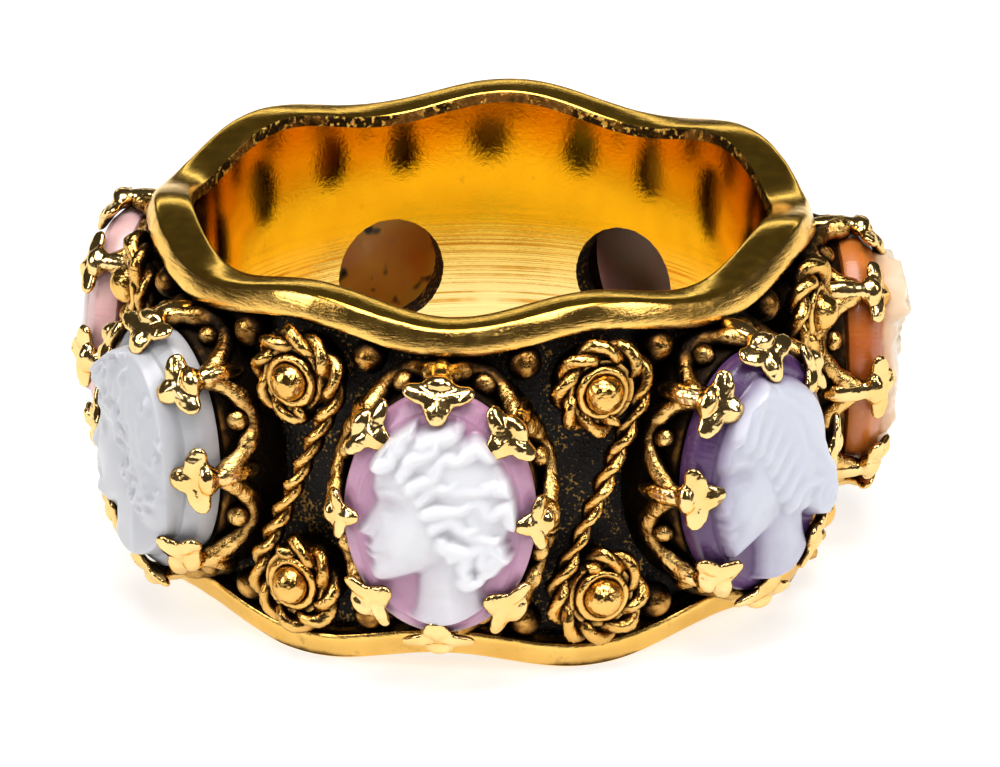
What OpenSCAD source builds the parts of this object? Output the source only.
// Cameo ring: a wide band with two wavy rims and seven oval cameos in prong settings.
// Between the stones a twisted rope curls round two balls in a long scroll.
// The ring stands with its axis upright, and the origin is on the axis, halfway up.
// "Out" is the distance from the ring's axis, "side" runs along the band and "up" along the axis.

/* [Band] */
// Inner diameter of the band, where the finger goes
bore_d = 18.2; // [15:0.1:23]
// Thickness of the sleeve between the rims
sleeve_t = 0.8; // [0.5:0.05:1.4]
// Height of the ring from rim to rim, halfway up their waves
band_h = 11.6; // [10.5:0.1:16]
// How far each rim stands out past the sleeve
rim_out = 0.8; // [0.3:0.05:1.2]
// Height of each rim's outer face
rim_h = 0.8; // [0.5:0.05:1.4]
// Rise and fall of the rims on either side of their middle height
wave = 0.33; // [0:0.01:0.5]
// Diameter of the round hole behind each stone
back_hole_d = 3.66; // [2:0.02:4.4]

/* [Stones] */
// Width of each stone
stone_w = 6; // [5:0.1:7]
// Height of each stone
stone_h = 8; // [6:0.1:9]
// Thickness of each stone's body at its edge
edge_t = 0.75; // [0.5:0.05:1.2]
// Rise of the bevel above the edge
bevel_rise = 0.4; // [0.2:0.05:0.7]
// Width of the bevel round each stone
bevel_w = 0.45; // [0.2:0.05:0.8]
// Height of the carving above its ground
relief_h = 0.9; // [0.3:0.05:1.3]

/* [Settings] */
// Height of the stones' seats above the sleeve
seat_rise = 1.6; // [1:0.05:2.5]
// Thickness of the collet's wall
collet_t = 0.3; // [0.2:0.05:0.6]
// Width of the ledge that the stone sits on
ledge_w = 0.5; // [0.3:0.05:0.9]
// Clearance between a stone and the metal round it
stone_gap = 0.06; // [0.03:0.01:0.15]
// Width of a prong's stem
prong_w = 0.55; // [0.35:0.05:0.8]
// Thickness of a prong
prong_t = 0.32; // [0.2:0.02:0.5]
// Width of a prong's three-lobed leaf
leaf_w = 1.75; // [1:0.05:2.2]
// Length of the leaf from stem to tip
leaf_l = 1.05; // [0.6:0.05:1.4]
// Thickness of the wire that edges the scallops between the prongs
gallery_d = 0.36; // [0.2:0.02:0.5]
// Depth of the scallops
gallery_drop = 1.4; // [0.6:0.05:2]

/* [Scrolls] */
// Thickness of the twisted rope
rope_d = 0.56; // [0.35:0.02:0.8]
// Distance between the centres of a scroll's two curls
curl_span = 6.9; // [5.5:0.1:8.5]
// Outer radius of a curl at the rope's middle line
curl_r = 1.4; // [1:0.05:1.7]
// Height of the rope's middle line above the sleeve
rope_rise = 1.15; // [0.7:0.05:2]
// Diameter of the ball in each curl
ball_d = 1.28; // [0.8:0.02:1.6]
// Diameter of the grains beside the curls
grain_d = 1.15; // [0.7:0.05:1.5]
// Distance of each grain from the middle of its scroll, along the sleeve
grain_side = 2.1; // [1.6:0.05:2.8]

/* [Hidden] */
stones = 7;
step = 360 / stones;
bore_r = bore_d / 2;
sleeve_r = bore_r + sleeve_t;
seat_out = sleeve_r + seat_rise;
edge_out = seat_out + stone_gap + edge_t;
ground_out = edge_out + bevel_rise;
rope_out = sleeve_r + rope_rise;
crest = band_h / 2;
// How deep soldered pieces run into each other, so that they join as one solid
bite = 0.3 * sleeve_t;
// Height below the crest line where a rim meets the sleeve
rim_foot = 1.1 * rim_h;
// How far inside the bore the back holes are started
hole_start = 1;
// Radius of the post that carries a curl and its ball
post_r = 0.78 * curl_r;
// Degrees that a curl turns through, and the share of its radius that is lost on the way in
curl_turn = 320;
curl_loss = 0.3;

// Section of a rim, one row each: share of the way from the bore to the rim's outer edge,
// share of rim_h below the crest. The first row lies inside the bore and is cut away with it;
// the last row is where the rim meets the sleeve.
rim_rows = [
    [-0.16, 1.46], [0.07, 0.04], [0.40, 0], [0.86, 0.06], [1, 0.84], [0.94, 1]
];

// Leaf of a prong, one row each: share of the way along the leaf, half width as a share of leaf_w,
// thickness as a share of prong_t
leaf_rows = [
    [0, 0.18, 1.0], [0.2, 0.24, 0.9], [0.4, 0.5, 0.7], [0.58, 0.22, 1.0], [0.8, 0.22, 0.9], [1, 0.05, 0.5]
];

// Masses of the carvings, one row each: side and up of the middle, half width and half height,
// all as shares of the ground's half width and half height; turn in degrees; share of the relief.
// A head in profile with short waved hair
waved_head = [
    [0.16, 0.30, 0.56, 0.46, 0, 0.95], // hair over the crown
    [0.30, 0.02, 0.40, 0.42, 0, 0.90], // hair at the back
    [-0.22, 0.06, 0.40, 0.44, 8, 0.80], // face
    [-0.14, -0.20, 0.34, 0.24, 0, 0.74], // jaw
    [0.12, -0.50, 0.26, 0.34, -12, 0.62], // neck
    [0.02, -0.74, 0.46, 0.15, 0, 0.50] // shoulder
];
// A head in profile with smooth hair gathered low at the back
gathered_head = [
    [0.10, 0.34, 0.52, 0.46, 0, 1.00], // hair over the crown
    [-0.22, 0.08, 0.36, 0.42, 8, 0.80], // face
    [0.50, -0.02, 0.24, 0.20, 0, 0.80], // knot of hair
    [-0.12, -0.18, 0.32, 0.24, 0, 0.72], // jaw
    [0.12, -0.46, 0.26, 0.36, -10, 0.62], // neck
    [0.08, -0.70, 0.46, 0.16, 0, 0.55] // shoulder
];
// A head in profile worn smooth, with thick curls
worn_head = [
    [0.10, 0.32, 0.62, 0.50, 0, 1.00], // hair over the crown
    [0.34, -0.05, 0.42, 0.40, 0, 0.95], // curls at the back
    [-0.26, 0.00, 0.42, 0.48, 6, 0.85], // face
    [0.05, -0.46, 0.34, 0.36, -8, 0.75], // neck
    [0.03, -0.70, 0.46, 0.17, 0, 0.65] // shoulder
];

// Outline of a stone at an angle from its top, moved outwards by grow, as side and up
function oval(a, grow = 0) =
    [stone_w / 2 * sin(a), stone_h / 2 * cos(a)] + grow * oval_out(a);
// The outline's outward direction there
function oval_out(a) = let (n = [stone_h * sin(a), stone_w * cos(a)]) n / norm(n);
// Side, up and out as a point of the ring, for a stone that faces the front
function place(p, out) = [p[0], -out, p[1]];
// The same, with side measured along a circle of radius r
function wrap(p, out, r) = let (a = p[0] / r * 180 / PI) [out * sin(a), -out * cos(a), p[1]];
// Height of the rims' crest line at an angle from a stone
function crest_at(a) = crest - wave * cos(stones * a);

// Solid through rings of points, closed on itself or with flat ends
module skin(rings, closed = false) {
    n = len(rings[0]);
    m = len(rings);
    sides = [
        for (j = [0 : m - (closed ? 1 : 2)], i = [0 : n - 1])
            let (
                j2 = (j + 1) % m,
                i2 = (i + 1) % n,
                a = j * n + i,
                b = j * n + i2,
                c = j2 * n + i2,
                d = j2 * n + i
            )
                each [[a, b, c], [a, c, d]]
    ];
    first = [for (i = [1 : n - 2]) [0, i + 1, i]];
    last = [for (i = [1 : n - 2]) [(m - 1) * n, (m - 1) * n + i, (m - 1) * n + i + 1]];
    polyhedron(
        points = [for (ring = rings) each ring],
        faces = closed ? sides : concat(sides, first, last),
        convexity = 6
    );
}

// Everything in gold is soldered together, so it is one solid with a true bore
module ring_body() {
    color("goldenrod")
    difference() {
        union() {
            band();
            for (i = [0 : stones - 1]) rotate([0, 0, i * step]) {
                collet();
                for (k = [0 : 7]) prong(45 * k);
                rotate([0, 0, step / 2]) scroll();
            }
        }
        cylinder(h = band_h + 4, r = bore_r, center = true, $fn = 96);
        for (i = [0 : stones - 1]) rotate([90, 0, i * step])
            translate([0, 0, bore_r - hole_start])
                cylinder(h = hole_start + sleeve_t + seat_rise / 2, d = back_hole_d, $fn = 48);
    }
}

// Sleeve and rims in one wavy section
module band() {
    steps = 10 * stones;
    skin([
        for (j = [0 : steps - 1])
            let (
                a = -j * 360 / steps,
                top = crest_at(a),
                rows = [for (r = rim_rows) [bore_r + r[0] * (sleeve_t + rim_out), top - r[1] * rim_h]],
                foot = [[sleeve_r, top - rim_foot]],
                half = concat(rows, foot),
                loop = concat(half, [for (k = [len(half) - 1 : -1 : 0]) [half[k][0], -half[k][1]]])
            )
                [for (p = loop) [p[0] * sin(a), -p[0] * cos(a), p[1]]]
    ], closed = true);
}

// Oval tube round the stone's seat. Its wall hangs in eight scallops between the prongs, edged with wire,
// and the ledge inside carries the stone.
module collet() {
    steps = 32;
    low = sqrt(pow(sleeve_r, 2) - pow(stone_w / 2, 2)) - bite;
    wall = stone_gap + collet_t;
    skin([
        for (j = [0 : steps - 1])
            let (
                a = -j * 360 / steps,
                edge = seat_out + 0.5 * edge_t - gallery_drop * abs(sin(4 * a)),
                rows = [
                    [wall, low], [wall, edge - gallery_d], [wall + 0.5 * gallery_d, edge - 0.5 * gallery_d],
                    [wall - 0.2 * gallery_d, edge], [stone_gap, seat_out], [stone_gap - ledge_w, seat_out],
                    [stone_gap - ledge_w, low]
                ]
            )
                [for (r = rows) place(oval(a, r[0]), r[1])]
    ], closed = true);
}

// Stem beside the stone and a three-lobed leaf bent over the stone's edge
module prong(a) {
    n = oval_out(a);
    t = [n[1], -n[0]];
    away = stone_gap + prong_t;
    lean = 25;
    function ring(d, out, half, thick, lean) = [
        for (c = [[1, -0.5], [-1, -0.5], [0, 0.5]])
            let (beyond = d + thick * c[1] * sin(lean), height = out + thick * c[1] * cos(lean))
                place(oval(a) + n * beyond + t * half * c[0], height)
    ];
    skin(concat(
        [ring(away, seat_out - 0.3 * edge_t, prong_w / 2, prong_t, 90)],
        [for (r = leaf_rows)
            let (d = away - leaf_l * r[0], over = min(1, max(0, -d / bevel_w)))
                ring(d, edge_out + over * bevel_rise + stone_gap + 0.7 * prong_t,
                    r[1] * leaf_w, r[2] * prong_t, lean)]
    ));
}

// Rope with a curl at each end, a ball in each curl, and a grain on either side of it
module scroll() {
    rope();
    for (way = [1, -1]) {
        rotate([90, 0, 0]) translate([0, way * curl_span / 2, 0]) {
            translate([0, 0, sleeve_r - bite]) cylinder(h = rope_rise + bite, r = post_r, $fn = 32);
            translate([0, 0, rope_out + 0.25 * ball_d]) sphere(d = ball_d, $fn = 32);
        }
        for (s = [1, -1]) rotate([90, 0, s * grain_side / sleeve_r * 180 / PI])
            translate([0, way * (crest - wave - rim_foot - 0.22 * grain_d), sleeve_r + 0.42 * grain_d])
                sphere(d = grain_d, $fn = 32);
    }
}

// The rope leaves the upper curl on its right, crosses to the lower curl's left and winds inwards there
module rope() {
    steps = 11;
    tilt = asin(curl_r / (curl_span / 2));
    curl = [
        for (j = [0 : steps])
            let (f = 1 - j / steps, a = f * curl_turn - tilt, r = curl_r * (1 - curl_loss * f))
                [r * cos(a), curl_span / 2 + r * sin(a)]
    ];
    line = concat(curl, [[0, 0]], [for (j = [steps : -1 : 0]) -curl[j]]);
    skin([
        for (j = [0 : len(line) - 1])
            let (
                d = line[min(len(line) - 1, j + 1)] - line[max(0, j - 1)],
                n = [-d[1], d[0]] / norm(d)
            )
                [for (k = [0 : 4])
                    let (t = -72 * k)
                        wrap(line[j] + n * rope_d / 2 * cos(t), rope_out + rope_d / 2 * sin(t), rope_out)]
    ]);
}

// Height of one mass of a carving, and of all of them, at a point of the ground
function mass(r, u, v) =
    let (
        x = u - r[0],
        y = v - r[1],
        p = (x * cos(r[4]) + y * sin(r[4])) / r[2],
        q = (y * cos(r[4]) - x * sin(r[4])) / r[3],
        s = 1 - p * p - q * q
    )
        s > 0 ? r[5] * (0.4 + 0.6 * sqrt(s)) * min(1, 4 * s) : 0;
function carved(rows, u, v) = max([for (r = rows) mass(r, u, v)]);

// Oval stone with a bevelled edge and a raised carving, which is high times relief_h
module cameo(rows, high) {
    steps = 32;
    ground = [stone_w / 2 - bevel_w, stone_h / 2 - bevel_w];
    shares = [0.92, 0.82, 0.7, 0.56, 0.42, 0.28, 0.14];
    low = seat_out + stone_gap;
    body = [[-0.6 * bevel_w, low], [0, low + 0.3 * edge_t], [0, edge_out], [-bevel_w, ground_out]];
    skin(concat(
        [for (r = body) [for (i = [0 : steps - 1]) place(oval(i * 360 / steps, r[0]), r[1])]],
        [for (f = shares) [for (i = [0 : steps - 1])
            let (u = f * sin(i * 360 / steps), v = f * cos(i * 360 / steps))
                place([u * ground[0], v * ground[1]], ground_out + high * relief_h * carved(rows, u, v))]]
    ));
}

module cameo_1() { color("plum") cameo(waved_head, 0.95); }
module cameo_2() { color("rebeccapurple") rotate([0, 0, step]) cameo(gathered_head, 1); }
module cameo_3() { color("sandybrown") rotate([0, 0, 2 * step]) cameo(waved_head, 1.3); }
module cameo_4() { color("dimgray") rotate([0, 0, 3 * step]) cameo(gathered_head, 1); }
module cameo_5() { color("peru") rotate([0, 0, 4 * step]) cameo(waved_head, 1); }
module cameo_6() { color("lightpink") rotate([0, 0, 5 * step]) cameo(gathered_head, 0.55); }
module cameo_7() { color("whitesmoke") rotate([0, 0, 6 * step]) cameo(worn_head, 1.2); }

ring_body();
cameo_1();
cameo_2();
cameo_3();
cameo_4();
cameo_5();
cameo_6();
cameo_7();
